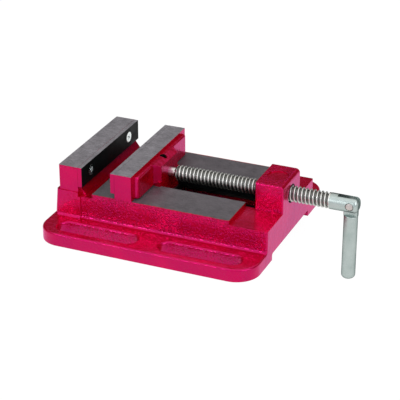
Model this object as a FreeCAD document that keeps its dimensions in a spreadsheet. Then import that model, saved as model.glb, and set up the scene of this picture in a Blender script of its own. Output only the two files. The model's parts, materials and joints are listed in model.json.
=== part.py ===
import FreeCAD, Part
import math
import os
import re
import Sketcher
from FreeCAD import Vector

# A drill-press vise with 100 mm jaws. The frame: +X runs from the fixed jaw to the handle, +Z is up,
# and the origin is the middle of the sole, which is also the middle of the four foot slots.

os.makedirs("parts", exist_ok=True)
doc = FreeCAD.newDocument("drill_press_vise")

DRIVING_SIZES = {
    # foot flanges and their slots
    "base_length": 175.0,
    "base_width": 164.0,
    "foot_height": 10.0,
    "foot_corner": 18.5,
    "foot_edge_round": 1.5,
    "slot_length": 64.5,
    "slot_width": 14.0,
    "slot_spacing_along": 83.4,
    "slot_spacing_across": 134.0,
    "slot_edge_round": 2.0,
    # body of the base casting
    "wall_width": 99.4,
    "block_width": 101.6,
    "wall_foot_round": 2.6,
    "block_left": -85.7,
    "block_right": -64.0,
    "block_draft": 1.8,
    "block_overlap": 4.0,
    "block_corner_round": 2.2,
    "block_foot": 1.6,
    "floor_top": 27.6,
    "rail_top": 31.0,
    "rail_left": -54.6,
    "rail_right": 57.0,
    "rail_bottom": 19.0,
    "rail_gap": 31.8,
    "gap_left": -58.5,
    "cavity_left": -76.0,
    "cavity_right": 78.5,
    "cavity_width": 75.2,
    "cavity_round": 4.0,
    "relief_width": 78.4,
    "relief_depth": 5.2,
    "relief_round": 2.0,
    # fixed jaw
    "jaw_width": 100.0,
    "jaw_top": 51.4,
    "fixed_jaw_left": -81.6,
    "fixed_seat": -65.9,
    "jaw_corner_round": 0.8,
    "toe_reach": 5.0,
    "toe_height": 6.6,
    "toe_near_end": 46.0,
    # jaw plates and their screws
    "plate_thickness": 3.5,
    "plate_bottom": 35.4,
    "screw_spacing": 66.0,
    "screw_height": 43.4,
    "screw_size": 5.0,
    "screw_head_size": 8.8,
    "screw_length": 14.0,
    "screw_sink": 0.2,
    "screw_rim": 0.15,
    "screw_point": 0.6,
    "drill_gap": 0.4,
    "countersink_gap": 0.1,
    "cross_span": 4.6,
    "cross_width": 1.1,
    "cross_depth": 1.7,
    # nut boss
    "boss_left": 65.2,
    "boss_width": 37.1,
    "boss_top": 49.8,
    "boss_end_round": 3.4,
    "boss_edge_round": 1.2,
    "dish_size": 16.2,
    "dish_depth": 0.7,
    "nut_mouth": 1.2,
    "nut_thread_first": 23.5,
    "nut_thread_last": 32.5,
    # moving jaw
    "moving_seat": -35.2,
    "moving_back": -21.5,
    "pad_back": -17.8,
    "pad_width": 89.4,
    "pad_top": 49.2,
    "pad_bottom": 32.2,
    "pad_end_round": 2.8,
    "pad_rim_round": 1.6,
    "nose_boss_end": -13.8,
    "nose_boss_width": 26.4,
    "nose_boss_root": 38.0,
    "nose_boss_top": 44.4,
    "nose_boss_bottom": 33.6,
    "nose_boss_root_round": 3.4,
    "nose_boss_end_round": 1.2,
    "guide_left": -33.0,
    "slide_gap": 0.15,
    # spindle, with its axis along X
    "spindle_height": 37.1,
    "thread_size": 12.5,
    "thread_lead": 3.0,
    "thread_depth": 1.45,
    "thread_root": 1.0,
    "thread_mouth": 1.95,
    "thread_start": -7.0,
    "thread_end": 117.6,
    "thread_play": 0.12,
    "nose_size": 7.0,
    "nose_tip": -24.4,
    "nose_tip_chamfer": 0.8,
    "thread_lead_in": 2.4,
    "groove_along": -17.8,
    "groove_width": 4.0,
    "groove_size": 4.4,
    "head_end": 140.3,
    "head_slot_left": 123.8,
    "head_slot_width": 5.2,
    "head_round": 3.0,
    # handle and its pin
    "pin_along": 134.3,
    "pin_size": 5.6,
    "handle_size": 10.7,
    "handle_reach": 61.0,
    "handle_end_round": 3.2,
    "shoulder_reach": 8.5,
    "shoulder_chamfer": 0.5,
    "tongue_width": 4.8,
    "tongue_size": 10.5,
    "pin_shortfall": 0.05,
    # set screw over the nose groove
    "set_screw_size": 5.0,
    "set_screw_dog": 3.0,
    "set_screw_length": 6.0,
    "set_screw_dog_length": 2.0,
    "set_screw_socket": 2.5,
    "set_screw_socket_depth": 2.4,
    "set_screw_lift": 0.3,
    # keeper under the rails
    "keeper_left": -36.0,
    "keeper_right": -11.0,
    "keeper_width": 60.0,
    "keeper_thickness": 6.0,
    "keeper_round": 3.0,
    "keeper_hole_gap": 0.6,
    "keeper_screw_size": 6.0,
    "keeper_screw_spacing": 18.0,
    "keeper_screw_length": 20.0,
    "keeper_head_size": 10.0,
    "keeper_head_height": 4.0,
    "keeper_screw_point": 0.7,
    "washer_size": 12.0,
    "washer_thickness": 1.2,
    "spring_washer_size": 9.9,
    "spring_washer_thickness": 1.6,
    "spring_washer_split": 1.0,
    "washer_gap": 0.4,
    "spring_washer_gap": 0.2,
    "running_gap": 0.05,
}

sheet = doc.addObject("Spreadsheet::Sheet", "Sizes")
for row, (alias, value) in enumerate(DRIVING_SIZES.items(), start=1):
    sheet.set("A%d" % row, alias.replace("_", " "))
    sheet.set("B%d" % row, str(value))
    sheet.setAlias("B%d" % row, alias)
doc.recompute()


# ---- formulas in the sheet's aliases ----

def cells(formula):
    """A formula in aliases, written as an expression on the sheet."""
    return re.sub(r"[a-z][a-z_]*", lambda word: "Sizes." + word.group(), str(formula))


def mm(formula):
    """The value of a formula in aliases."""
    return float(sheet.evalExpression(cells(formula)))


# ---- sketches ----

def new_body(name):
    body = doc.addObject("PartDesign::Body", name)
    body.Label = name
    return body


def new_sketch(body, name, plane, offset="0", lift="0"):
    """An empty sketch on an origin plane, moved along the plane's normal and up its own Y axis."""
    sketch = body.newObject("Sketcher::SketchObject", name)
    origin_plane = [item for item in body.Origin.OriginFeatures if item.Role == plane][0]
    sketch.AttachmentSupport = (origin_plane, [""])
    sketch.MapMode = "FlatFace"
    sketch.setExpression("AttachmentOffset.Base.z", cells(offset))
    sketch.setExpression("AttachmentOffset.Base.y", cells(lift))
    return sketch


def dimension(sketch, kind, formula, *where):
    """A driving dimension bound to the sheet."""
    index = sketch.addConstraint(Sketcher.Constraint(kind, *where, mm(formula)))
    sketch.setExpression("Constraints[%d]" % index, cells(formula))


def place(sketch, geometry, vertex, x, y):
    """Ties one point of a sketch to its two distances from the sketch's origin."""
    dimension(sketch, "DistanceX", x, -1, 1, geometry, vertex)
    dimension(sketch, "DistanceY", y, -1, 1, geometry, vertex)


def add_polygon(sketch, corners):
    first = sketch.GeometryCount
    count = len(corners)
    points = [Vector(mm(x), mm(y), 0) for x, y in corners]
    for index in range(count):
        sketch.addGeometry(Part.LineSegment(points[index], points[(index + 1) % count]))
    for index, (x, y) in enumerate(corners):
        following = first + (index + 1) % count
        sketch.addConstraint(Sketcher.Constraint("Coincident", first + index, 2, following, 1))
        place(sketch, first + index, 1, x, y)


def add_rectangle(sketch, left, right, low, high):
    add_polygon(sketch, [(left, low), (right, low), (right, high), (left, high)])


def add_circle(sketch, x, y, diameter):
    circle = Part.Circle(Vector(mm(x), mm(y), 0), Vector(0, 0, 1), mm(diameter) / 2)
    index = sketch.addGeometry(circle)
    dimension(sketch, "Diameter", diameter, index)
    place(sketch, index, 3, x, y)


def add_slot(sketch, x, y, length, width):
    """A slot with round ends that runs along the sketch's X axis."""
    centre_x, centre_y, radius = mm(x), mm(y), mm(width) / 2
    half_run = mm(length) / 2 - radius
    right = Vector(centre_x + half_run, centre_y, 0)
    left = Vector(centre_x - half_run, centre_y, 0)
    rise = Vector(0, radius, 0)
    normal = Vector(0, 0, 1)
    quarter = math.pi / 2
    right_round = Part.Circle(right, normal, radius)
    left_round = Part.Circle(left, normal, radius)
    right_end = sketch.addGeometry(Part.ArcOfCircle(right_round, -quarter, quarter))
    top = sketch.addGeometry(Part.LineSegment(right + rise, left + rise))
    left_end = sketch.addGeometry(Part.ArcOfCircle(left_round, quarter, 3 * quarter))
    bottom = sketch.addGeometry(Part.LineSegment(left - rise, right - rise))
    for one, end, other, start in (
        (right_end, 2, top, 1),
        (top, 2, left_end, 1),
        (left_end, 2, bottom, 1),
        (bottom, 2, right_end, 1),
    ):
        sketch.addConstraint(Sketcher.Constraint("Tangent", one, end, other, start))
    dimension(sketch, "Radius", "(%s) / 2" % width, right_end)
    place(sketch, right_end, 3, "%s + (%s - %s) / 2" % (x, length, width), y)
    place(sketch, left_end, 3, "%s - (%s - %s) / 2" % (x, length, width), y)


def polygon(body, name, plane, corners, offset="0", lift="0"):
    sketch = new_sketch(body, name, plane, offset, lift)
    add_polygon(sketch, corners)
    return sketch


def rectangle(body, name, plane, left, right, low, high, offset="0"):
    sketch = new_sketch(body, name, plane, offset)
    add_rectangle(sketch, left, right, low, high)
    return sketch


def hexagon(across_flats):
    """The corners of a hexagon about the sketch's origin, from its width across flats."""
    corner = "%s * %.5f" % (across_flats, 1 / math.sqrt(3))
    turns = [math.radians(60 * k) for k in range(6)]
    return [("%s * %.5f" % (corner, math.cos(t)), "%s * %.5f" % (corner, math.sin(t))) for t in turns]


def circles(body, name, plane, centres, diameter, offset="0"):
    sketch = new_sketch(body, name, plane, offset)
    for x, y in centres:
        add_circle(sketch, x, y, diameter)
    return sketch


# ---- features ----

def finish_feature(body, feature, removes):
    """Recomputes, and stops if the feature failed or changed the volume the wrong way."""
    before = feature.BaseFeature.Shape.Volume if feature.BaseFeature else 0.0
    doc.recompute()
    body.Tip = feature
    doc.recompute()
    after = feature.Shape.Volume
    grew = after > before + 1e-3
    shrank = after < before - 1e-3
    if feature.Shape.isNull() or not (shrank if removes else grew):
        raise RuntimeError("%s changed nothing: %.1f to %.1f" % (feature.Label, before, after))
    if not feature.Shape.isValid():
        raise RuntimeError("%s is not valid" % feature.Label)
    return feature


def pad(body, sketch, length, symmetric=False, reverse=False):
    feature = body.newObject("PartDesign::Pad", sketch.Name + "_pad")
    feature.Profile = sketch
    feature.setExpression("Length", cells(length))
    feature.SideType = "Symmetric" if symmetric else "One side"
    feature.Reversed = reverse
    return finish_feature(body, feature, removes=False)


def pocket(body, sketch, length, symmetric=False, reverse=False):
    feature = body.newObject("PartDesign::Pocket", sketch.Name + "_pocket")
    feature.Profile = sketch
    feature.setExpression("Length", cells(length))
    feature.SideType = "Symmetric" if symmetric else "One side"
    feature.Reversed = reverse
    return finish_feature(body, feature, removes=True)


def turn(body, sketch, axis, groove=False):
    """A revolution, or a groove, of a whole turn about an axis of the sketch."""
    kind = "PartDesign::Groove" if groove else "PartDesign::Revolution"
    feature = body.newObject(kind, sketch.Name + ("_groove" if groove else "_turned"))
    feature.Profile = sketch
    feature.ReferenceAxis = (sketch, [axis])
    feature.Angle = 360
    return finish_feature(body, feature, removes=groove)


def edges_where(feature, test):
    """The names of the edges whose middle and box pass a test."""
    names = []
    for index, edge in enumerate(feature.Shape.Edges, start=1):
        middle = edge.valueAt((edge.FirstParameter + edge.LastParameter) / 2)
        if test(edge, middle, edge.BoundBox):
            names.append("Edge%d" % index)
    return names


def dress(body, kind, name, size, test):
    """A fillet or a chamfer on the edges that pass a test."""
    base = body.Tip
    names = edges_where(base, test)
    if not names:
        raise RuntimeError("%s found no edge" % name)
    feature = body.newObject("PartDesign::" + kind, name)
    feature.Base = (base, names)
    feature.setExpression("Radius" if kind == "Fillet" else "Size", cells(size))
    doc.recompute()
    body.Tip = feature
    doc.recompute()
    if "Invalid" in feature.State or feature.Shape.isNull() or not feature.Shape.isValid():
        raise RuntimeError("%s failed on %d edges" % (name, len(names)))
    return feature


def near(value, formula, slack=0.02):
    return abs(value - mm(formula)) < slack


def upright(box):
    return box.XLength < 0.01 and box.YLength < 0.01


def at_height(box, formula):
    """True for an edge that lies level at one height."""
    return box.ZLength < 0.01 and near(box.ZMin, formula)


def helix_cut(body, name, start, end, root, mouth, lift="0"):
    """Cuts one thread groove about a line along X, from its first middle to its last.

    root and mouth are the groove's two (radius, width) pairs.
    """
    sketch = polygon(body, name, "XZ_Plane", [
        ("%s - (%s) / 2" % (start, root[1]), root[0]),
        ("%s - (%s) / 2" % (start, mouth[1]), mouth[0]),
        ("%s + (%s) / 2" % (start, mouth[1]), mouth[0]),
        ("%s + (%s) / 2" % (start, root[1]), root[0]),
    ], lift=lift)
    feature = body.newObject("PartDesign::SubtractiveHelix", name + "_helix")
    feature.Profile = sketch
    feature.ReferenceAxis = (sketch, ["H_Axis"])
    feature.Mode = "pitch-height-angle"
    feature.setExpression("Pitch", cells("thread_lead"))
    feature.setExpression("Height", cells("%s - (%s)" % (end, start)))
    return finish_feature(body, feature, removes=True)


def groove_width_at(radius):
    """Width of the spindle's thread groove at a radius, as a formula."""
    flank = "(thread_mouth - thread_root) / thread_depth"
    return "thread_root + %s * (%s - thread_size / 2 + thread_depth)" % (flank, radius)


# ---- places that several nodes share ----

SCREW_CENTRES = [("-screw_spacing / 2", "screw_height"), ("screw_spacing / 2", "screw_height")]
KEEPER_MIDDLE = "keeper_left / 2 + keeper_right / 2"
KEEPER_TOP = "rail_bottom - slide_gap"
KEEPER_CENTRES = [
    (KEEPER_MIDDLE, "-keeper_screw_spacing / 2"),
    (KEEPER_MIDDLE, "keeper_screw_spacing / 2"),
]


# ---- base casting ----

def build_base_casting():
    body = new_body("base_casting")
    half_length, half_width = "base_length / 2", "base_width / 2"
    foot = rectangle(body, "foot", "XY_Plane",
                     "-" + half_length, half_length, "-" + half_width, half_width)
    pad(body, foot, "foot_height")
    dress(body, "Fillet", "foot_corners", "foot_corner", lambda edge, middle, box: upright(box))

    # the long body: floor, rails and the wall under the nut boss, all one width
    walls = polygon(body, "walls", "XZ_Plane", [
        ("block_left + block_overlap", "foot_height / 2"),
        (half_length, "foot_height / 2"),
        (half_length, "floor_top"),
        ("rail_right", "floor_top"),
        ("rail_right", "rail_top"),
        ("rail_left", "rail_top"),
        ("rail_left", "floor_top"),
        ("block_left + block_overlap", "floor_top"),
    ])
    pad(body, walls, "wall_width", symmetric=True)
    dress(body, "Fillet", "wall_foot", "wall_foot_round",
          lambda edge, middle, box: at_height(box, "foot_height")
          and near(abs(middle.y), "wall_width / 2") and box.XLength > 20)

    # the block that carries the fixed jaw stands a little proud of the walls
    block = polygon(body, "block", "XZ_Plane", [
        ("block_left", "foot_height / 2"),
        ("block_right", "foot_height / 2"),
        ("block_right", "floor_top"),
        ("fixed_seat", "floor_top"),
        ("fixed_seat", "rail_top"),
        ("block_left + block_draft", "rail_top"),
        ("block_left", "foot_height"),
    ])
    pad(body, block, "block_width", symmetric=True)
    block_foot = polygon(body, "block_foot", "YZ_Plane", [
        ("-block_width / 2 - block_foot", "foot_height"),
        ("block_width / 2 + block_foot", "foot_height"),
        ("block_width / 2", "foot_height + block_foot"),
        ("-block_width / 2", "foot_height + block_foot"),
    ], offset="block_left + block_corner_round")
    pad(body, block_foot, "block_right - block_left - block_corner_round")
    jaw = polygon(body, "jaw", "XZ_Plane", [
        ("fixed_jaw_left", "floor_top"),
        ("fixed_seat", "floor_top"),
        ("fixed_seat", "jaw_top"),
        ("fixed_jaw_left", "jaw_top"),
    ])
    pad(body, jaw, "jaw_width", symmetric=True)

    # sloping toe under the plate's seat, which stops short of the near end
    toe = polygon(body, "toe", "XZ_Plane", [
        ("fixed_seat - 1", "floor_top - 1"),
        ("fixed_seat + toe_reach", "floor_top - 1"),
        ("fixed_seat + toe_reach", "floor_top"),
        ("fixed_seat", "floor_top + toe_height"),
        ("fixed_seat - 1", "floor_top + toe_height"),
    ], offset="-jaw_width / 2")
    pad(body, toe, "jaw_width / 2 + toe_near_end")

    boss = rectangle(body, "nut_boss", "YZ_Plane", "-boss_width / 2", "boss_width / 2",
                     "rail_bottom + 1", "boss_top", offset="boss_left")
    pad(body, boss, half_length + " - boss_left")

    # hollow under the rails, and the shallow relief that leaves two long feet
    cavity = rectangle(body, "cavity", "XY_Plane", "cavity_left", "cavity_right",
                       "-cavity_width / 2", "cavity_width / 2")
    pocket(body, cavity, "rail_bottom", reverse=True)
    dress(body, "Fillet", "cavity_corners", "cavity_round",
          lambda edge, middle, box: upright(box) and abs(middle.y) < mm("cavity_width / 2 + 1")
          and middle.z < mm("rail_bottom") and box.ZLength > mm("rail_bottom - 1"))
    relief = rectangle(body, "relief", "XY_Plane", "-base_length", "base_length",
                       "-relief_width / 2", "relief_width / 2")
    pocket(body, relief, "relief_depth", reverse=True)
    dress(body, "Fillet", "relief_roof", "relief_round",
          lambda edge, middle, box: at_height(box, "relief_depth") and box.XLength > 5
          and near(abs(middle.y), "relief_width / 2"))
    gap = rectangle(body, "gap", "XY_Plane", "gap_left", "boss_left", "-rail_gap / 2", "rail_gap / 2")
    pocket(body, gap, "rail_top + 1", reverse=True)

    # four foot slots
    slots = new_sketch(body, "foot_slots", "XY_Plane")
    for along in ("-slot_spacing_along / 2", "slot_spacing_along / 2"):
        for across in ("-slot_spacing_across / 2", "slot_spacing_across / 2"):
            add_slot(slots, along, across, "slot_length", "slot_width")
    pocket(body, slots, "foot_height + 1", reverse=True)

    # threaded way for the spindle, with a chamfer at each mouth
    end = half_length
    bore = circles(body, "nut_bore", "YZ_Plane", [("0", "spindle_height")],
                   "thread_size - 2 * thread_depth + 2 * thread_play", offset=end)
    pocket(body, bore, end + " - boss_left + 1")
    for side, mouth, inner in (
        ("right", end, end + " - nut_mouth"),
        ("left", "boss_left", "boss_left + nut_mouth"),
    ):
        countersink = polygon(body, "nut_mouth_" + side, "XZ_Plane", [
            (inner, "0"),
            (mouth, "0"),
            (mouth, "thread_size / 2 + nut_mouth"),
            (inner, "thread_size / 2"),
        ], lift="spindle_height")
        turn(body, countersink, "H_Axis", groove=True)
    deep = "thread_size / 2 + thread_play"
    shallow = "thread_size / 2 - thread_depth - 0.3"
    helix_cut(body, "nut_thread",
              "thread_start + nut_thread_first * thread_lead",
              "thread_start + nut_thread_last * thread_lead",
              (deep, "thread_lead - (%s) + 2 * thread_play" % groove_width_at(deep)),
              (shallow, "thread_lead - (%s) + 2 * thread_play" % groove_width_at(shallow)),
              lift="spindle_height")

    # holes for the two plate screws, and the plain dish on the boss
    holes = circles(body, "plate_screw_holes", "YZ_Plane", SCREW_CENTRES,
                    "screw_size + 2 * running_gap", offset="fixed_seat")
    pocket(body, holes, "screw_length")
    dish = circles(body, "dish", "XY_Plane", [("boss_left / 2 + %s / 2" % end, "0")],
                   "dish_size", offset="boss_top")
    pocket(body, dish, "dish_depth")

    # rounded casting edges
    dress(body, "Fillet", "boss_end_edge", "boss_end_round",
          lambda edge, middle, box: at_height(box, "boss_top") and near(middle.x, half_length))
    dress(body, "Fillet", "boss_edges", "boss_edge_round",
          lambda edge, middle, box: box.ZMin > mm("floor_top - 0.1")
          and middle.x > mm("boss_left - 0.1") and middle.z > mm("floor_top + 1")
          and near(abs(middle.y), "boss_width / 2", slack=0.1) and box.ZLength + box.XLength > 5)
    dress(body, "Fillet", "slot_edges", "slot_edge_round",
          lambda edge, middle, box: at_height(box, "foot_height")
          and abs(abs(middle.y) - mm("slot_spacing_across / 2")) < mm("slot_width / 2 + 0.1")
          and abs(abs(middle.x) - mm("slot_spacing_along / 2")) < mm("slot_length / 2 + 0.1"))
    dress(body, "Fillet", "foot_rim", "foot_edge_round",
          lambda edge, middle, box: at_height(box, "foot_height")
          and (abs(middle.y) > mm("base_width / 2 - 8") or middle.x < mm("-base_length / 2 + 0.1")))
    dress(body, "Fillet", "block_corners", "block_corner_round",
          lambda edge, middle, box: near(abs(middle.y), "block_width / 2")
          and middle.x < mm("block_left + block_draft + 0.1") and box.ZLength > 5)
    dress(body, "Fillet", "jaw_corners", "jaw_corner_round",
          lambda edge, middle, box: near(abs(middle.y), "jaw_width / 2") and upright(box)
          and near(middle.x, "fixed_jaw_left") and box.ZLength > 5)
    return body


# ---- moving jaw ----

def build_moving_jaw():
    body = new_body("moving_jaw")
    bar = rectangle(body, "bar", "XZ_Plane", "moving_seat", "moving_back",
                    "rail_top + slide_gap", "jaw_top")
    pad(body, bar, "jaw_width", symmetric=True)
    back_pad = rectangle(body, "back_pad", "XZ_Plane", "moving_back - 1", "pad_back",
                         "pad_bottom", "pad_top")
    pad(body, back_pad, "pad_width", symmetric=True)
    dress(body, "Fillet", "pad_ends", "pad_end_round",
          lambda edge, middle, box: upright(box) and near(middle.x, "pad_back"))
    dress(body, "Fillet", "pad_rim", "pad_rim_round",
          lambda edge, middle, box: at_height(box, "pad_top") and near(middle.x, "pad_back"))

    # boss that holds the spindle's nose: it widens into the pad, and its top slopes to its end
    boss = polygon(body, "nose_boss", "XY_Plane", [
        ("moving_back", "-nose_boss_root / 2"),
        ("pad_back", "-nose_boss_root / 2"),
        ("nose_boss_end", "-nose_boss_width / 2"),
        ("nose_boss_end", "nose_boss_width / 2"),
        ("pad_back", "nose_boss_root / 2"),
        ("moving_back", "nose_boss_root / 2"),
    ], offset="nose_boss_bottom")
    pad(body, boss, "pad_top - nose_boss_bottom")
    dress(body, "Fillet", "boss_root_edges", "nose_boss_root_round",
          lambda edge, middle, box: upright(box) and near(middle.x, "pad_back")
          and near(abs(middle.y), "nose_boss_root / 2") and box.ZLength > 5)
    dress(body, "Fillet", "boss_end_edges", "nose_boss_end_round",
          lambda edge, middle, box: upright(box) and near(middle.x, "nose_boss_end"))
    tongue = rectangle(body, "guide_tongue", "XY_Plane", "guide_left", "nose_boss_end",
                       "-rail_gap / 2 + slide_gap", "rail_gap / 2 - slide_gap",
                       offset=KEEPER_TOP)
    pad(body, tongue, "nose_boss_bottom - rail_bottom + slide_gap + 1")
    slope = polygon(body, "boss_slope", "XZ_Plane", [
        ("pad_back + 0.4", "pad_top + 1"),
        ("pad_back + 0.4", "pad_top"),
        ("nose_boss_end", "nose_boss_top"),
        ("nose_boss_end + 1", "nose_boss_top"),
        ("nose_boss_end + 1", "pad_top + 1"),
    ])
    pocket(body, slope, "nose_boss_root + 2", symmetric=True)

    nose_bore = circles(body, "nose_bore", "YZ_Plane", [("0", "spindle_height")],
                        "nose_size + 2 * running_gap", offset="nose_boss_end")
    pocket(body, nose_bore, "nose_boss_end - nose_tip + 0.3")
    set_hole = circles(body, "set_screw_hole", "XY_Plane", [("groove_along", "0")],
                       "set_screw_size + 2 * running_gap", offset="pad_top + 1")
    pocket(body, set_hole, "pad_top + 1 - spindle_height")
    plate_holes = circles(body, "plate_screw_holes", "YZ_Plane", SCREW_CENTRES,
                          "screw_size + 2 * running_gap", offset="moving_seat")
    pocket(body, plate_holes, "screw_length - plate_thickness + 1", reverse=True)
    keeper_holes = circles(body, "keeper_screw_holes", "XY_Plane", KEEPER_CENTRES,
                           "keeper_screw_size + 2 * running_gap", offset=KEEPER_TOP)
    pocket(body, keeper_holes, "keeper_screw_length - keeper_thickness - washer_thickness", reverse=True)
    return body


# ---- jaw plates and their screws ----

def build_jaw_plate(name, seat, facing):
    """A plate 100 mm wide whose back lies on x = 0 and whose face looks along its own +X."""
    body = new_body(name)
    face = rectangle(body, name + "_face", "YZ_Plane", "-jaw_width / 2", "jaw_width / 2",
                     "plate_bottom", "jaw_top")
    pad(body, face, "plate_thickness")
    drill = circles(body, name + "_drill", "YZ_Plane", SCREW_CENTRES, "screw_size + drill_gap",
                    offset="plate_thickness")
    pocket(body, drill, "plate_thickness")
    body.Placement.Rotation = FreeCAD.Rotation(Vector(0, 0, 1), 0 if facing > 0 else 180)
    body.setExpression("Placement.Base.x", cells(seat))
    dress(body, "Chamfer", name + "_countersinks",
          "(screw_head_size - screw_size - drill_gap) / 2 + screw_rim + countersink_gap",
          lambda edge, middle, box: 1 < box.YLength < mm("screw_size + 1") and 1 < box.ZLength
          and near(middle.x, "plate_thickness"))
    return body


def build_plate_screw(name, seat, facing, side):
    """A countersunk cross-head screw whose head looks along its own +X."""
    body = new_body(name)
    profile = polygon(body, name + "_profile", "XZ_Plane", [
        ("0", "0"),
        ("0", "screw_head_size / 2 - screw_sink"),
        ("-screw_rim", "screw_head_size / 2 - screw_sink"),
        ("-screw_rim - (screw_head_size - screw_size) / 2 + screw_sink", "screw_size / 2"),
        ("-screw_length + screw_point", "screw_size / 2"),
        ("-screw_length", "screw_size / 2 - screw_point"),
        ("-screw_length", "0"),
    ])
    turn(body, profile, "H_Axis")
    for label, wide, tall in (
        ("level", "cross_span", "cross_width"),
        ("upright", "cross_width", "cross_span"),
    ):
        cut = rectangle(body, "%s_%s" % (name, label), "YZ_Plane",
                        "-%s / 2" % wide, "%s / 2" % wide, "-%s / 2" % tall, "%s / 2" % tall)
        pocket(body, cut, "cross_depth")
    body.Placement.Rotation = FreeCAD.Rotation(Vector(0, 0, 1), 0 if facing > 0 else 180)
    sign = "+" if facing > 0 else "-"
    body.setExpression("Placement.Base.x", cells("%s %s (plate_thickness - screw_sink)" % (seat, sign)))
    body.setExpression("Placement.Base.y", cells("%d * screw_spacing / 2" % side))
    body.setExpression("Placement.Base.z", cells("screw_height"))
    return body


# ---- spindle, handle and pin ----

def build_spindle():
    """The screw, drawn about its own X axis and lifted to its height."""
    body = new_body("spindle")
    thread_radius = "thread_size / 2"
    profile = polygon(body, "spindle_profile", "XZ_Plane", [
        ("nose_tip", "0"),
        ("nose_tip", "nose_size / 2 - nose_tip_chamfer"),
        ("nose_tip + nose_tip_chamfer", "nose_size / 2"),
        ("groove_along - groove_width / 2", "nose_size / 2"),
        ("groove_along - groove_width / 2", "groove_size / 2"),
        ("groove_along + groove_width / 2", "groove_size / 2"),
        ("groove_along + groove_width / 2", "nose_size / 2"),
        ("thread_start", "nose_size / 2"),
        ("thread_start + thread_lead_in", thread_radius),
        ("head_end", thread_radius),
        ("head_end", "0"),
    ])
    turn(body, profile, "H_Axis")
    dress(body, "Fillet", "head_end_edge", "head_round",
          lambda edge, middle, box: box.XLength < 0.01 and near(middle.x, "head_end"))
    root = "thread_size / 2 - thread_depth"
    outside = "thread_size / 2 + 0.3"
    helix_cut(body, "spindle_thread", "thread_start", "thread_end",
              (root, groove_width_at(root)), (outside, groove_width_at(outside)))
    slot = rectangle(body, "head_slot", "XZ_Plane", "head_slot_left", "head_end + 1",
                     "-thread_size", "thread_size")
    pocket(body, slot, "head_slot_width", symmetric=True)
    pin_hole = circles(body, "pin_hole", "XZ_Plane", [("pin_along", "0")],
                       "pin_size + 2 * running_gap")
    pocket(body, pin_hole, "2 * thread_size", symmetric=True)
    body.setExpression("Placement.Base.z", cells("spindle_height"))
    return body


def build_handle():
    """The folding bar, drawn hanging from its own origin on the pin's axis."""
    body = new_body("handle")
    bar = polygon(body, "bar_profile", "XZ_Plane", [
        ("0", "-shoulder_reach"),
        ("handle_size / 2", "-shoulder_reach"),
        ("handle_size / 2", "-handle_reach"),
        ("0", "-handle_reach"),
    ])
    turn(body, bar, "V_Axis")
    dress(body, "Fillet", "bar_end", "handle_end_round",
          lambda edge, middle, box: at_height(box, "-handle_reach") and box.XLength > 5)
    dress(body, "Chamfer", "bar_shoulder", "shoulder_chamfer",
          lambda edge, middle, box: at_height(box, "-shoulder_reach") and box.XLength > 5)
    tongue = rectangle(body, "tongue", "XZ_Plane", "-tongue_size / 2", "tongue_size / 2",
                       "-shoulder_reach", "0")
    pad(body, tongue, "tongue_width", symmetric=True)
    eye = circles(body, "tongue_eye", "XZ_Plane", [("0", "0")], "tongue_size")
    pad(body, eye, "tongue_width", symmetric=True)
    pin_hole = circles(body, "tongue_hole", "XZ_Plane", [("0", "0")], "pin_size + 2 * running_gap")
    pocket(body, pin_hole, "2 * tongue_width", symmetric=True)
    body.setExpression("Placement.Base.x", cells("pin_along"))
    body.setExpression("Placement.Base.z", cells("spindle_height"))
    return body


def build_handle_pin():
    """A cross pin whose riveted ends follow the round of the spindle's head."""
    pin = doc.addObject("Part::Cylinder", "pin_bar")
    pin.setExpression("Radius", cells("pin_size / 2"))
    pin.setExpression("Height", cells("2 * thread_size"))
    pin.Placement.Rotation = FreeCAD.Rotation(Vector(1, 0, 0), 90)
    pin.setExpression("Placement.Base.x", cells("pin_along"))
    pin.setExpression("Placement.Base.y", cells("thread_size"))
    pin.setExpression("Placement.Base.z", cells("spindle_height"))
    head = doc.addObject("Part::Cylinder", "head_round_bar")
    head.setExpression("Radius", cells("thread_size / 2 - pin_shortfall"))
    head.setExpression("Height", cells("2 * thread_size"))
    head.Placement.Rotation = FreeCAD.Rotation(Vector(0, 1, 0), 90)
    head.setExpression("Placement.Base.x", cells("pin_along - thread_size"))
    head.setExpression("Placement.Base.z", cells("spindle_height"))
    common = doc.addObject("Part::Common", "handle_pin")
    common.Base = pin
    common.Tool = head
    common.Label = "handle_pin"
    return common


def build_nose_set_screw():
    """A dog-point set screw over the nose groove, drawn about Z from the dog's tip upwards."""
    body = new_body("nose_set_screw")
    profile = polygon(body, "set_screw_profile", "XZ_Plane", [
        ("0", "0"),
        ("set_screw_dog / 2", "0"),
        ("set_screw_dog / 2", "set_screw_dog_length"),
        ("set_screw_size / 2", "set_screw_dog_length + (set_screw_size - set_screw_dog) / 4"),
        ("set_screw_size / 2", "set_screw_length"),
        ("0", "set_screw_length"),
    ])
    turn(body, profile, "V_Axis")
    socket = polygon(body, "hex_socket", "XY_Plane", hexagon("set_screw_socket"), offset="set_screw_length")
    pocket(body, socket, "set_screw_socket_depth")
    body.setExpression("Placement.Base.x", cells("groove_along"))
    body.setExpression("Placement.Base.z", cells("spindle_height + groove_size / 2 + set_screw_lift"))
    return body


# ---- keeper under the rails ----

def build_keeper_plate():
    body = new_body("keeper_plate")
    outline = rectangle(body, "keeper_outline", "XY_Plane", "keeper_left", "keeper_right",
                        "-keeper_width / 2", "keeper_width / 2")
    pad(body, outline, "keeper_thickness")
    dress(body, "Fillet", "keeper_corners", "keeper_round",
          lambda edge, middle, box: upright(box))
    holes = circles(body, "keeper_holes", "XY_Plane", KEEPER_CENTRES,
                    "keeper_screw_size + keeper_hole_gap")
    pocket(body, holes, "keeper_thickness", reverse=True)
    body.setExpression("Placement.Base.z", cells(KEEPER_TOP + " - keeper_thickness"))
    return body


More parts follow.
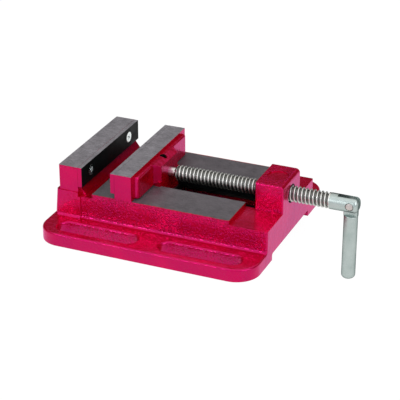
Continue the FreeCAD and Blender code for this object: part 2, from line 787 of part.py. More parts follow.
def set_under_keeper(body, side, drop):
    body.setExpression("Placement.Base.x", cells(KEEPER_MIDDLE))
    body.setExpression("Placement.Base.y", cells("%d * keeper_screw_spacing / 2" % side))
    body.setExpression("Placement.Base.z", cells("%s - keeper_thickness - %s" % (KEEPER_TOP, drop)))


def build_keeper_washer(name, side):
    body = new_body(name)
    ring = new_sketch(body, name + "_ring", "XY_Plane")
    add_circle(ring, "0", "0", "washer_size")
    add_circle(ring, "0", "0", "keeper_screw_size + washer_gap")
    pad(body, ring, "washer_thickness")
    set_under_keeper(body, side, "washer_thickness")
    return body


def build_keeper_spring_washer(name, side):
    """A split ring, with the split on its +X side."""
    body = new_body(name)
    ring = new_sketch(body, name + "_ring", "XY_Plane")
    add_circle(ring, "0", "0", "spring_washer_size")
    add_circle(ring, "0", "0", "keeper_screw_size + spring_washer_gap")
    pad(body, ring, "spring_washer_thickness")
    split = rectangle(body, name + "_split", "XY_Plane", "0", "washer_size",
                      "-spring_washer_split / 2", "spring_washer_split / 2")
    pocket(body, split, "spring_washer_thickness", reverse=True)
    set_under_keeper(body, side, "washer_thickness - spring_washer_thickness")
    return body


def build_keeper_screw(name, side):
    """A hexagon-head screw, with its head from z = 0 down and its shank upwards."""
    body = new_body(name)
    head = polygon(body, name + "_head", "XY_Plane", hexagon("keeper_head_size"),
                   offset="-keeper_head_height")
    pad(body, head, "keeper_head_height")
    shank = circles(body, name + "_shank", "XY_Plane", [("0", "0")], "keeper_screw_size")
    pad(body, shank, "keeper_screw_length")
    dress(body, "Chamfer", name + "_point", "keeper_screw_point",
          lambda edge, middle, box: at_height(box, "keeper_screw_length"))
    set_under_keeper(body, side, "washer_thickness - spring_washer_thickness")
    return body


def build_all():
    built = [
        build_base_casting(),
        build_jaw_plate("fixed_jaw_plate", "fixed_seat", 1),
        build_moving_jaw(),
        build_jaw_plate("moving_jaw_plate", "moving_seat", -1),
        build_spindle(),
        build_handle(),
        build_handle_pin(),
        build_nose_set_screw(),
        build_keeper_plate(),
    ]
    for side_name, side in (("near", -1), ("far", 1)):
        built.append(build_plate_screw("fixed_plate_screw_" + side_name, "fixed_seat", 1, side))
        built.append(build_plate_screw("moving_plate_screw_" + side_name, "moving_seat", -1, side))
        built.append(build_keeper_screw("keeper_screw_" + side_name, side))
        built.append(build_keeper_spring_washer("keeper_spring_washer_" + side_name, side))
        built.append(build_keeper_washer("keeper_washer_" + side_name, side))
    return built


nodes = build_all()

doc.recompute()
for item in doc.Objects:
    if "Invalid" in item.State or "Error" in item.State:
        raise RuntimeError("%s is %s" % (item.Label, item.State))
for node in nodes:
    if node.Shape.isNull() or not node.Shape.isValid():
        raise RuntimeError("%s has no valid shape" % node.Label)
    node.Shape.exportStep(os.path.join("parts", node.Label + ".step"))
    print("%-28s %9.1f mm3 %3d faces" % (node.Label, node.Shape.Volume, len(node.Shape.Faces)))
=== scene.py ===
import bpy
import json
import math
import numpy as np
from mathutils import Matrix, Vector


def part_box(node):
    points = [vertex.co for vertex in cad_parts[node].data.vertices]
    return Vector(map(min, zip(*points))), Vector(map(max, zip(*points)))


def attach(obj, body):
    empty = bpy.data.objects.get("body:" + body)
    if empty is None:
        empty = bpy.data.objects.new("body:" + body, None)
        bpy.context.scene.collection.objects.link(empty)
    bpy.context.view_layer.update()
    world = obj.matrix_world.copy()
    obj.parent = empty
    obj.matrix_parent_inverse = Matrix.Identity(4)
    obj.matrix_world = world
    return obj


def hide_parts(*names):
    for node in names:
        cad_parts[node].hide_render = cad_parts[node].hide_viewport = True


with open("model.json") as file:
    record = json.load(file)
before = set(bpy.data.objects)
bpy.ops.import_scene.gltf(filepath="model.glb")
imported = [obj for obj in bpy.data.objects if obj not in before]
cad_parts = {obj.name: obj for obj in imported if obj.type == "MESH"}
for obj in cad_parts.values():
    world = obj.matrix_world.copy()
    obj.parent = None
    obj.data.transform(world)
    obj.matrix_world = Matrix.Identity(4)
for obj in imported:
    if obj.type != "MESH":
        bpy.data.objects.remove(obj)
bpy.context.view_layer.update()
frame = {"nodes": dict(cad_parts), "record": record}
mm = 0.001             # the frame is in metres, the shapes below in millimetres
full = 2 * math.pi


# lowest and highest corner of a CAD node, in millimetres
def boxMm(node):
    low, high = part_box(node)
    return np.array(low) / mm, np.array(high) / mm


view = {
    "azimuth": 23.19,      # degrees, 0 looks along +Y
    "elevation": 26.27,
    "distance": 1.1873,
    "target": (0.01305, 0.0, 0.01707),
    "lens": 138.9,
    "sensor": 36.0,
    "clip": (0.05, 30.0),
}
table = {
    "edge": 0.0945,        # the bar hangs over this edge, as it does on a drill table
    "top": -0.0002,        # just clear of the sole
    "drop": -0.0265,       # lower floor, just under the end of the bar
    "half": 7.0,
    "white": 0.97,         # glow of the paper
    "paper": 0.06,
    "rough": 0.9,
    "underShade": 0.03,    # painted shade: the paper under the casting is dark and does not glow
    "underShadeReach": (0.083, 0.055),  # its half length and half width
}
air = {
    "colour": (0.90, 0.94, 1.0),
    "behind": 0.07,        # dim wall behind the vise
    "front": 0.90,         # pale wall behind the camera
    "from": 0.25,          # how far round towards +Y the dim wall starts
    "to": -0.7,
}
lamps = {
    "overhead": {"place": (0.0, 0.40, 1.30), "aim": None, "size": (2.2, 2.6), "power": 17.5,
                 "colour": (1.0, 0.98, 0.96)},
    "leftFront": {"place": (-0.56, -1.27, 0.79), "aim": (0, 0, 0.02), "size": (0.24, 0.24), "power": 2.8,
                  "colour": (1.0, 1.0, 1.0)},
    "right": {"place": (1.20, -0.45, 0.75), "aim": (0, 0, 0.02), "size": (0.9, 0.9), "power": 6.0,
              "colour": (1.0, 0.98, 1.0)},
}


def lookAt(thing, target):
    direction = Vector(target) - thing.location
    thing.rotation_euler = direction.to_track_quat("-Z", "Y").to_euler()


def addToScene(name, data):
    thing = bpy.data.objects.new(name, data)
    bpy.context.scene.collection.objects.link(thing)
    return thing


def makeCamera():
    a, e = math.radians(view["azimuth"]), math.radians(view["elevation"])
    back = Vector((math.sin(a) * math.cos(e), -math.cos(a) * math.cos(e), math.sin(e)))
    data = bpy.data.cameras.new("studioCamera")
    data.lens = view["lens"]
    data.sensor_width = view["sensor"]
    data.clip_start, data.clip_end = view["clip"]
    camera = addToScene("studioCamera", data)
    camera.location = Vector(view["target"]) + back * view["distance"]
    lookAt(camera, view["target"])
    bpy.context.scene.camera = camera


# a lamp without an aim faces straight down
def makeLamp(name, settings):
    data = bpy.data.lights.new(name, "AREA")
    data.shape = "RECTANGLE"
    data.size, data.size_y = settings["size"]
    data.energy = settings["power"]
    data.color = settings["colour"]
    lamp = addToScene(name, data)
    lamp.location = settings["place"]
    if settings["aim"]:
        lookAt(lamp, settings["aim"])


# white paper that glows a little; the part of it under the casting is dark, painted shade with no glow
def makePaper():
    material = bpy.data.materials.new("tablePaper")
    material.use_nodes = True
    nodes, links = material.node_tree.nodes, material.node_tree.links
    shader = nodes["Principled BSDF"]
    shader.inputs["Roughness"].default_value = table["rough"]
    shader.inputs["Specular IOR Level"].default_value = 0.0
    shader.inputs["Emission Color"].default_value = (1, 1, 1, 1)
    split = nodes.new("ShaderNodeSeparateXYZ")
    links.new(nodes.new("ShaderNodeTexCoord").outputs["Object"], split.inputs[0])
    outside = nodes.new("ShaderNodeMath")
    outside.operation = "MAXIMUM"
    for socket, axis, reach in zip(outside.inputs, "XY", table["underShadeReach"]):
        size, edge = nodes.new("ShaderNodeMath"), nodes.new("ShaderNodeMath")
        size.operation, edge.operation = "ABSOLUTE", "GREATER_THAN"
        edge.inputs[1].default_value = reach
        links.new(split.outputs[axis], size.inputs[0])
        links.new(size.outputs[0], edge.inputs[0])
        links.new(edge.outputs[0], socket)
    # under the casting the paper is painted shade: no glow and a darker base
    for socket, under, beside in (("Emission Strength", 0.0, table["white"]),
                                  ("Base Color", table["underShade"], table["paper"])):
        tone = nodes.new("ShaderNodeMapRange")
        tone.inputs["To Min"].default_value = under
        tone.inputs["To Max"].default_value = beside
        links.new(outside.outputs[0], tone.inputs["Value"])
        links.new(tone.outputs["Result"], shader.inputs[socket])
    return material


# a table top with a step down to a lower floor at its right edge, and light that falls off behind
def makeStage():
    h, x, z, top = table["half"], table["edge"], table["drop"], table["top"]
    corners = [(-h, -h, top), (x, -h, top), (x, h, top), (-h, h, top)]
    corners += [(x, -h, z), (h, -h, z), (h, h, z), (x, h, z)]
    mesh = bpy.data.meshes.new("studioFloor")
    mesh.from_pydata(corners, [], [(0, 1, 2, 3), (1, 4, 7, 2), (4, 5, 6, 7)])
    mesh.materials.append(makePaper())
    floor = addToScene("studioFloor", mesh)
    world = bpy.data.worlds.new("studioAir")
    world.use_nodes = True
    nodes, links = world.node_tree.nodes, world.node_tree.links
    background = nodes["Background"]
    background.inputs["Color"].default_value = (*air["colour"], 1)
    split = nodes.new("ShaderNodeSeparateXYZ")
    links.new(nodes.new("ShaderNodeTexCoord").outputs["Generated"], split.inputs[0])
    fall = nodes.new("ShaderNodeMapRange")
    for key, value in (("From Min", air["from"]), ("From Max", air["to"]),
                       ("To Min", air["behind"]), ("To Max", air["front"])):
        fall.inputs[key].default_value = value
    links.new(split.outputs["Y"], fall.inputs["Value"])
    links.new(fall.outputs["Result"], background.inputs["Strength"])
    bpy.context.scene.world = world
    for name, settings in lamps.items():
        makeLamp(name, settings)


makeCamera()
makeStage()
bpy.context.scene.view_settings.view_transform = "Standard"
print("stage ready: camera, table and", len(lamps), "lamps")

# scales are per metre, heights and places in metres
enamelLook = {
    "red": (0.55, 0.0004, 0.006),
    "deepRed": (0.44, 0.0004, 0.004),
    "tint": (1.0, 0.06, 1.0, 1),
    "coat": 0.06,
    "coatRough": 0.12,
    "gloss": 0.21,
    "reflect": 1.0,
    "ior": 1.75,
    "flake": 0.42,          # metal powder in the paint
    "patchScale": 38.0,
    "smearScale": 330.0,
    "grainScale": 680.0,
    "grainPeaks": (0.48, 0.74),
    "grainHeight": 0.55,
    "grainDepth": 0.0012,
    "waveScale": 230.0,
    "waveHeight": 0.08,
    "waveDepth": 0.004,
    "upright": (0.55, 0.85),     # the grain comes in as a face turns towards the front or back
    "levelGrain": 0.06,          # share of it left on the level faces
    "wallTop": (0.031, 0.032),   # the sand cast sides lie below this
    "aboveWall": 0.3,
    "blockEnd": (-0.0645, -0.0635),   # and right of this
    "leftOfBlock": 0.35,
    "footEdge": (0.078, 0.080),
    "footGrain": 0.45,
    "bossTop": (0.0493, 0.0496),
    "bossGrain": 1.3,
}
groundLook = {
    "jawTone": (0.250, 0.235, 0.252),
    "railTone": (0.122, 0.109, 0.119),
    "darkest": 0.45,        # times the tone
    "palest": 1.45,
    "metal": 0.35,
    "rough": 0.46,
    "lineScale": (150.0, 1700.0, 900.0),
    "fineScale": 1000.0,
    "cloudScale": 130.0,
    "shares": (0.40, 0.25, 0.35),   # lines, clouds, fine grain
    "paintEdge": 0.0492,    # enamel is left on the rails outside this
    "ragged": 0.0006,
    "raggedScale": 240.0,
}
plateLook = {
    "tone": (0.002, 0.003, 0.003),
    "palest": 1.8,
    "rough": 0.50,
    "reflect": 0.10,
    "lineScale": (900.0, 120.0, 1300.0),
    "cloudScale": 90.0,
}
steelLook = {
    "tone": (0.60, 0.60, 0.57),
    "root": (0.17, 0.17, 0.16),     # painted shade in the thread's roots
    "rough": 0.34,
    "edge": (0.5, 0.5, 0.5),
    "axisZ": 0.0371,
    "rootReach": (0.0050, 0.0060),  # radius where it ends
    "noseEnd": (-0.0072, -0.0066),  # the plain nose left of this gets no painted shade
    "fineScale": 1300.0,
}
zincLook = {
    "tone": (0.38, 0.445, 0.425),
    "pale": (0.49, 0.55, 0.53),
    "rough": 0.36,
    "edge": (0.05, 0.06, 0.06),
}


# small helper that adds nodes to one material and joins them by name
class NodeBench:
    def __init__(self, name):
        self.material = bpy.data.materials.new(name)
        self.material.use_nodes = True
        self.nodes = self.material.node_tree.nodes
        self.links = self.material.node_tree.links
        self.shader = self.nodes["Principled BSDF"]
        self.place = self.nodes.new("ShaderNodeTexCoord").outputs["Object"]

    def put(self, socket, value):
        if isinstance(value, bpy.types.NodeSocket):
            self.links.new(value, socket)
        else:
            socket.default_value = value

    def setShader(self, **values):
        for key, value in values.items():
            self.put(self.shader.inputs[key.replace("_", " ")], value)

    def stretched(self, scale):
        node = self.nodes.new("ShaderNodeMapping")
        node.inputs["Scale"].default_value = scale
        self.links.new(self.place, node.inputs["Vector"])
        return node.outputs[0]

    def noise(self, scale, detail=4.0, rough=0.55, vector=None):
        node = self.nodes.new("ShaderNodeTexNoise")
        for key, value in (("Scale", scale), ("Detail", detail), ("Roughness", rough)):
            node.inputs[key].default_value = value
        self.links.new(vector or self.place, node.inputs["Vector"])
        return node.outputs["Fac"]

    def mathNode(self, kind, a, b=0.0, c=0.0):
        node = self.nodes.new("ShaderNodeMath")
        node.operation = kind
        for socket, value in zip(node.inputs, (a, b, c)):
            self.put(socket, value)
        return node.outputs[0]

    # carries value from the first range to the second, and stops at its ends
    def span(self, value, fromRange, toLow=0.0, toHigh=1.0, smooth=False):
        node = self.nodes.new("ShaderNodeMapRange")
        node.interpolation_type = "SMOOTHSTEP" if smooth else "LINEAR"
        for key, number in zip(("From Min", "From Max", "To Min", "To Max"), (*fromRange, toLow, toHigh)):
            self.put(node.inputs[key], number)
        self.put(node.inputs["Value"], value)
        return node.outputs["Result"]

    def mixColour(self, fac, a, b):
        node = self.nodes.new("ShaderNodeMix")
        node.data_type = "RGBA"
        self.put(node.inputs[0], fac)
        for socket, value in zip([s for s in node.inputs if s.type == "RGBA"], (a, b)):
            self.put(socket, value if isinstance(value, bpy.types.NodeSocket) else (*value[:3], 1))
        return [s for s in node.outputs if s.type == "RGBA"][0]

    def split(self, vector):
        node = self.nodes.new("ShaderNodeSeparateXYZ")
        self.links.new(vector, node.inputs[0])
        return node.outputs

    def bump(self, height, strength, distance=0.001, below=None):
        node = self.nodes.new("ShaderNodeBump")
        self.put(node.inputs["Strength"], strength)
        node.inputs["Distance"].default_value = distance
        self.links.new(height, node.inputs["Height"])
        if below is not None:
            self.links.new(below, node.inputs["Normal"])
        return node.outputs["Normal"]


# gloss enamel over a sand casting: the upright sides are grainy, the level faces smoother
def makeEnamel(name, grain=1.0):
    bench = NodeBench(name)
    look = enamelLook
    normals = bench.nodes.new("ShaderNodeNewGeometry").outputs["Normal"]
    place = bench.split(bench.place)
    faceY = bench.mathNode("ABSOLUTE", bench.split(normals)["Y"])
    wall = bench.span(faceY, look["upright"], look["levelGrain"], 1.0)
    for share in (bench.span(place["Z"], look["wallTop"], 1.0, look["aboveWall"]),
                  bench.span(place["X"], look["blockEnd"], look["leftOfBlock"], 1.0),
                  bench.span(bench.mathNode("ABSOLUTE", place["Y"]), look["footEdge"], 1.0, look["footGrain"])):
        wall = bench.mathNode("MULTIPLY", wall, share)
    wall = bench.mathNode("MAXIMUM", wall, bench.span(place["Z"], look["bossTop"], 0.0, look["bossGrain"]))
    peaks = bench.span(bench.noise(look["grainScale"], 2.0, 0.5), look["grainPeaks"], smooth=True)
    waves = bench.bump(bench.noise(look["waveScale"], 3.0), look["waveHeight"], look["waveDepth"])
    height = bench.mathNode("MULTIPLY", wall, look["grainHeight"] * grain)
    patch = bench.span(bench.noise(look["patchScale"], 3.0), (0.35, 0.65))
    smear = bench.noise(look["smearScale"], 3.0)
    smear = bench.span(smear, (0.3, 0.7), look["gloss"] * 0.8, look["gloss"] * 1.25)
    bench.setShader(Base_Color=bench.mixColour(patch, look["red"], look["deepRed"]), Roughness=smear,
                    Normal=bench.bump(peaks, height, look["grainDepth"], waves), Metallic=look["flake"],
                    Specular_IOR_Level=look["reflect"], Specular_Tint=look["tint"], IOR=look["ior"],
                    Coat_Weight=look["coat"], Coat_Roughness=look["coatRough"])
    return bench.material


# bare ground iron: fine grinding lines, cloudy stains, and enamel left along the rail edges
def makeGround(name, tone, paintEdge=None):
    bench = NodeBench(name)
    look = groundLook
    lines = bench.noise(1.0, 3.0, 0.7, bench.stretched(look["lineScale"]))
    cloud = bench.noise(look["cloudScale"], 4.0, 0.6)
    fine = bench.noise(look["fineScale"], 2.0, 0.7)
    mixed = 0.0
    for pattern, share in zip((lines, cloud, fine), look["shares"]):
        mixed = bench.mathNode("MULTIPLY_ADD", pattern, share, mixed)
    dark, pale = (tuple(look[key] * v for v in tone) for key in ("darkest", "palest"))
    colour = bench.mixColour(bench.span(mixed, (0.36, 0.64)), dark, pale)
    metal = look["metal"]
    if paintEdge:
        wander = bench.noise(look["raggedScale"], 4.0, 0.7)
        wander = bench.span(wander, (0.3, 0.7), -look["ragged"], look["ragged"])
        edge = bench.mathNode("ADD", bench.mathNode("ABSOLUTE", bench.split(bench.place)["Y"]), wander)
        paint = bench.span(edge, (paintEdge - 0.0002, paintEdge + 0.0002))
        colour = bench.mixColour(paint, colour, enamelLook["deepRed"])
        metal = bench.mathNode("MULTIPLY", look["metal"], bench.mathNode("SUBTRACT", 1.0, paint))
    rough = bench.span(cloud, (0.3, 0.7), look["rough"] * 0.85, look["rough"] * 1.2)
    bench.setShader(Base_Color=colour, Roughness=rough, Metallic=metal,
                    Normal=bench.bump(lines, 0.18, 0.0002))
    return bench.material


# blackened jaw plate: nearly black, with faint upright grinding lines
def makeBlackPlate(name):
    bench = NodeBench(name)
    look = plateLook
    lines = bench.noise(1.0, 3.0, 0.6, bench.stretched(look["lineScale"]))
    cloud = bench.noise(look["cloudScale"], 4.0)
    pale = tuple(look["palest"] * v for v in look["tone"])
    bench.setShader(Base_Color=bench.mixColour(bench.span(cloud, (0.4, 0.7)), look["tone"], pale),
                    Roughness=bench.span(cloud, (0.3, 0.7), look["rough"] * 0.8, look["rough"] * 1.3),
                    Specular_IOR_Level=look["reflect"], Normal=bench.bump(lines, 0.12, 0.0002))
    return bench.material


# a metal whose tone drifts to pale in blotches; the last argument paints shade near the spindle's axis, in the
# thread's roots
def makeSteel(name, tone, rough, pale=None, mottle=60.0, wear=0.2, edge=(1, 1, 1), rootShade=None):
    bench = NodeBench(name)
    look = steelLook
    cloud = bench.noise(mottle, 4.0, 0.6)
    fine = bench.noise(look["fineScale"], 2.0, 0.6)
    pale = pale or tuple(min(1.0, 1.2 * v) for v in tone)
    mixed = bench.mathNode("MULTIPLY_ADD", fine, 0.3, bench.mathNode("MULTIPLY", cloud, 0.7))
    colour = bench.mixColour(bench.span(mixed, (0.38, 0.62)), tone, pale)
    # painted shade: the thread's roots near the axis turn to the darker tone
    if rootShade:
        place = bench.split(bench.place)
        height = bench.mathNode("SUBTRACT", place["Z"], look["axisZ"])
        square = bench.mathNode("MULTIPLY", place["Y"], place["Y"])
        square = bench.mathNode("MULTIPLY_ADD", height, height, square)
        unshaded = bench.span(bench.mathNode("SQRT", square), look["rootReach"])
        unshaded = bench.mathNode("MAXIMUM", unshaded, bench.span(place["X"], look["noseEnd"], 1.0, 0.0))
        colour = bench.mixColour(unshaded, rootShade, colour)
    bench.setShader(Base_Color=colour, Metallic=1.0, Specular_Tint=(*edge, 1),
                    Roughness=bench.span(mixed, (0.35, 0.65), rough * (1 - wear), rough * (1 + wear)),
                    Normal=bench.bump(fine, 0.10, 0.0002))
    return bench.material


castEnamel = makeEnamel("castEnamel")
jawEnamel = makeEnamel("jawEnamel", 0.15)
groundJaw = makeGround("groundJawTop", groundLook["jawTone"])
groundRail = makeGround("groundRail", groundLook["railTone"], groundLook["paintEdge"])
# bare machined ways and bore, toned near black as painted shade in the slot between the rails
machinedWayShade = makeSteel("machinedWayShade", (0.014, 0.019, 0.019), 0.6)
# bare iron for the sole, also used as painted shade on the hollow under the casting
rawIronAndShade = makeSteel("rawIronAndShade", (0.09, 0.085, 0.08), 0.6)
blackPlate = makeBlackPlate("blackenedPlate")
turnedSteel = makeSteel("turnedSteel", steelLook["tone"], steelLook["rough"], mottle=120.0,
                        edge=steelLook["edge"], rootShade=steelLook["root"])
zincPlate = makeSteel("dullZinc", zincLook["tone"], zincLook["rough"], zincLook["pale"], 95.0,
                      edge=zincLook["edge"])
pinSteel = makeSteel("rivetSteel", (0.50, 0.45, 0.43), 0.35, mottle=400.0)
brightZinc = makeSteel("brightZinc", (0.72, 0.76, 0.75), 0.25, mottle=300.0)
darkSteel = makeSteel("oiledSteel", (0.075, 0.075, 0.08), 0.42, mottle=200.0)
print("finishes ready")

bodyOf = {node: body for body, nodes in frame["record"]["behaviour"]["bodies"].items() for node in nodes}


def readArray(things, key, width, kind=float):
    values = np.zeros(len(things) * width, kind)
    things.foreach_get(key, values)
    return values.reshape(-1, width) if width > 1 else values


def selectOnly(active, *others):
    for thing in bpy.context.selected_objects:
        thing.select_set(False)
    for thing in (active, *others):
        thing.select_set(True)
    bpy.context.view_layer.objects.active = active


# a CAD node's copy with its loose triangles sewn together and flat areas joined
def sewnCopy(node, name):
    mesh = frame["nodes"][node].data.copy()
    mesh.name = name
    piece = addToScene(name, mesh)
    selectOnly(piece)
    if mesh.has_custom_normals:
        bpy.ops.mesh.customdata_custom_splitnormals_clear()
    bpy.ops.object.mode_set(mode="EDIT")
    bpy.ops.mesh.select_all(action="SELECT")
    bpy.ops.mesh.remove_doubles(threshold=2e-6)
    bpy.ops.mesh.dissolve_limited(angle_limit=math.radians(0.6))
    bpy.ops.object.mode_set(mode="OBJECT")
    mesh.materials.clear()
    return piece


edgeFinish = {
    "sharper": 24.0,       # edges that turn more degrees than this are rounded
    "smoothUnder": 50.0,   # and faces that turn less shade smooth
    "segments": 3,
    "evenness": 80,
}


# rounds each sharp edge to widthAt(its middle), in millimetres, by a bevel weight
def softenEdges(piece, widest, widthAt):
    mesh = piece.data
    loopEdge = readArray(mesh.loops, "edge_index", 1, np.int32)
    loopCount = readArray(mesh.polygons, "loop_total", 1, np.int32)
    loopFace = np.repeat(np.arange(len(mesh.polygons)), loopCount)
    normals = readArray(mesh.polygons, "normal", 3)
    order = np.argsort(loopEdge, kind="stable")
    edges, counts = np.unique(loopEdge, return_counts=True)
    first = np.concatenate([[0], np.cumsum(counts)[:-1]])
    paired = counts == 2
    a = normals[loopFace[order[first[paired]]]]
    b = normals[loopFace[order[first[paired] + 1]]]
    ends = readArray(mesh.edges, "vertices", 2, np.int32)[edges[paired]]
    points = readArray(mesh.vertices, "co", 3) / mm
    middle = (points[ends[:, 0]] + points[ends[:, 1]]) / 2
    sharp = (a * b).sum(1) < math.cos(math.radians(edgeFinish["sharper"]))
    weight = np.zeros(len(mesh.edges))
    weight[edges[paired]] = np.where(sharp, widthAt(middle) / widest, 0.0)
    attribute = mesh.attributes.new("bevel_weight_edge", "FLOAT", "EDGE")
    attribute.data.foreach_set("value", weight.astype(np.float32))
    bevel = piece.modifiers.new("softEdges", "BEVEL")
    bevel.limit_method = "WEIGHT"
    bevel.width = widest * mm
    bevel.segments = edgeFinish["segments"]
    bevel.miter_outer = "MITER_ARC"
    bevel.use_clamp_overlap = True
    even = piece.modifiers.new("evenShading", "WEIGHTED_NORMAL")
    even.keep_sharp = True
    even.weight = edgeFinish["evenness"]
    bpy.context.view_layer.objects.active = piece
    bpy.ops.object.shade_smooth_by_angle(angle=math.radians(edgeFinish["smoothUnder"]))


# the middles (in millimetres) and normals of a piece's faces
def faceTable(piece):
    return readArray(piece.data.polygons, "center", 3) / mm, readArray(piece.data.polygons, "normal", 3)


def paintFaces(piece, materials, index):
    for material in materials:
        piece.data.materials.append(material)
    piece.data.polygons.foreach_set("material_index", index.astype(np.int32))


def standFor(piece, node):
    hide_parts(node)
    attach(piece, bodyOf[node])


castForm = {
    "castRound": 0.9,      # radius of the cast edges, mm
    "groundRound": 0.22,   # edges beside a ground face
    "soleRound": 0.5,
    "railTop": 31.0,
    "railEnd": 60.0,       # the rails lie between this and the other side's
    "jawTop": 51.4,
    "axisHeight": 37.1,
    "sharpBore": (9.5, -30.0),   # edges nearer the axis, and right of this x, stay sharp
    "wayHalf": 16.0,       # the machined sides of the slide's slot
    "wayDepth": 19.0,      # underside of the rails
    "nutBore": (7.9, 64.0),      # radius, and where the threaded block starts
    "cavity": (-76.2, 78.7, 37.8, 18.9),   # hollow under the casting: x from, x to, half width, height
    "near": 0.05,          # how close to a face counts as on it
}


def castWidth(middle):
    c = castForm
    radius = np.hypot(middle[:, 1], middle[:, 2] - c["axisHeight"])
    inBore = (radius < c["sharpBore"][0]) & (middle[:, 0] > c["sharpBore"][1])
    rail = (abs(middle[:, 2] - c["railTop"]) < c["near"]) & (abs(middle[:, 0]) < c["railEnd"])
    way = (abs(middle[:, 1]) < c["wayHalf"] + 0.2) & (middle[:, 2] < c["railTop"] + 0.1)
    ground = rail | way | (middle[:, 2] > c["jawTop"] - c["near"])
    width = np.where(ground, c["groundRound"], c["castRound"])
    return np.where(inBore, 0.0, np.where(middle[:, 2] < c["near"], c["soleRound"], width))


def finishCasting():
    c = castForm
    casting = sewnCopy("base_casting", "baseCasting")
    centre, normal = faceTable(casting)
    x, y, z = centre.T
    level, downward = normal[:, 2] > 0.99, normal[:, 2] < -0.99
    rail = level & (abs(z - c["railTop"]) < c["near"]) & (x > -c["railEnd"])
    jawTop = level & (abs(z - c["jawTop"]) < c["near"])
    way = (abs(normal[:, 1]) > 0.99) & (abs(y) < c["wayHalf"]) & (z < c["railTop"])
    under = downward & (abs(z - c["wayDepth"]) < c["near"])
    sole = downward & (z < c["near"])
    bore = (np.hypot(y, z - c["axisHeight"]) < c["nutBore"][0]) & (x > c["nutBore"][1])
    bore &= abs(normal[:, 0]) < 0.95
    left, right, half, height = c["cavity"]
    # the hollow's faces under the casting take the dark iron as painted shade
    inside = ~level & (z < height) & (abs(y) < half) & (x > left) & (x < right)
    choice = np.select([rail, jawTop, way | under, sole | inside, bore], [1, 2, 3, 4, 3], 0)
    paintFaces(casting, [castEnamel, groundRail, groundJaw, machinedWayShade, rawIronAndShade], choice)
    softenEdges(casting, c["castRound"], castWidth)
    standFor(casting, "base_casting")


finishCasting()

jawForm = {
    "round": 0.6,           # radius of the painted edges, mm
    "below": 30.9,          # under this it runs hidden between the rails
    "back": -35.1,          # face that carries the plate
    "hole": (-17.8, 2.7),   # oil hole above the spindle's groove: x and reach
    "holeFrom": 38.0,
    "nose": 4.5,            # edges nearer the axis than this stay sharp
    "root": -17.4,          # where the boss leaves the pad
    "end": (-13.8, -12.4),  # its end before and after
    "drop": (4.8, 2.4),     # how far its top falls by then
    "topAtRoot": 49.2,
    "spread": 0.13,         # widening of the end above the rails
    "spreadFrom": (6.0, 32.0),   # half width and height where the widening starts
}


# draws the spindle boss out to a fuller end: everything past its root is stretched along X
def fillBoss(mesh):
    j = jawForm
    points = readArray(mesh.vertices, "co", 3) / mm
    t = np.clip((points[:, 0] - j["root"]) / (j["end"][0] - j["root"]), 0, 1)
    onSlope = (abs(points[:, 2] - (j["topAtRoot"] - j["drop"][0] * t)) < 0.08) & (t > 0)
    wide = (abs(points[:, 1]) > j["spreadFrom"][0]) & (points[:, 2] > j["spreadFrom"][1])
    points[:, 0] += t * (j["end"][1] - j["end"][0])
    points[:, 1] *= 1 + np.where(wide, j["spread"] * t, 0)
    points[:, 2] += np.where(onSlope, t * (j["drop"][0] - j["drop"][1]), 0)
    mesh.vertices.foreach_set("co", (points * mm).reshape(-1))
    mesh.update()


def jawWidth(middle):
    j = jawForm
    x, y, z = middle.T
    hole = np.hypot(x - j["hole"][0], y) < j["hole"][1] + 0.5
    nose = np.hypot(y, z - castForm["axisHeight"]) < j["nose"]
    hidden = hole | nose | (x < j["back"]) | (z < j["below"])
    ground = z > castForm["jawTop"] - castForm["near"]
    return np.where(hidden, 0.0, np.where(ground, castForm["groundRound"], j["round"]))


def finishJaw():
    j = jawForm
    jaw = sewnCopy("moving_jaw", "slidingJaw")
    fillBoss(jaw.data)
    centre, normal = faceTable(jaw)
    x, y, z = centre.T
    jawTop = (normal[:, 2] > 0.99) & (abs(z - castForm["jawTop"]) < castForm["near"])
    # the jaw's slide and its oil hole are toned near black as painted shade
    way = (z < j["below"]) & (abs(y) < castForm["wayHalf"])
    hole = (np.hypot(x - j["hole"][0], y) < j["hole"][1]) & (z > j["holeFrom"]) & (abs(normal[:, 2]) < 0.3)
    paintFaces(jaw, [jawEnamel, groundJaw, machinedWayShade], np.select([jawTop, way | hole], [1, 2], 0))
    softenEdges(jaw, j["round"], jawWidth)
    standFor(jaw, "moving_jaw")


finishJaw()

jawPlate = {
    "round": 0.25,
    "endFace": 49.9,        # faces outside this half width are painted
    "endEdge": 49.0,
    "topEdge": 51.0,
}


def finishPlate(node):
    p = jawPlate
    plate = sewnCopy(node, node.split("_")[0] + "JawPlate")
    centre, normal = faceTable(plate)
    top = normal[:, 2] > 0.9
    ends = (abs(normal[:, 1]) > 0.9) & (abs(centre[:, 1]) > p["endFace"])
    paintFaces(plate, [blackPlate, groundJaw, jawEnamel], np.select([top, ends], [1, 2], 0))
    softenEdges(plate, p["round"], lambda middle: p["round"] * (
        (abs(middle[:, 1]) > p["endEdge"]) | (middle[:, 2] > p["topEdge"])))
    standFor(plate, node)


finishPlate("fixed_jaw_plate")
finishPlate("moving_jaw_plate")
print("castings and plates ready")

for node, thing in frame["nodes"].items():
    if node.startswith(("keeper", "nose")):   # these keep their CAD meshes
        thing.data.materials.clear()
        thing.data.materials.append(brightZinc if "washer" in node else darkSteel)


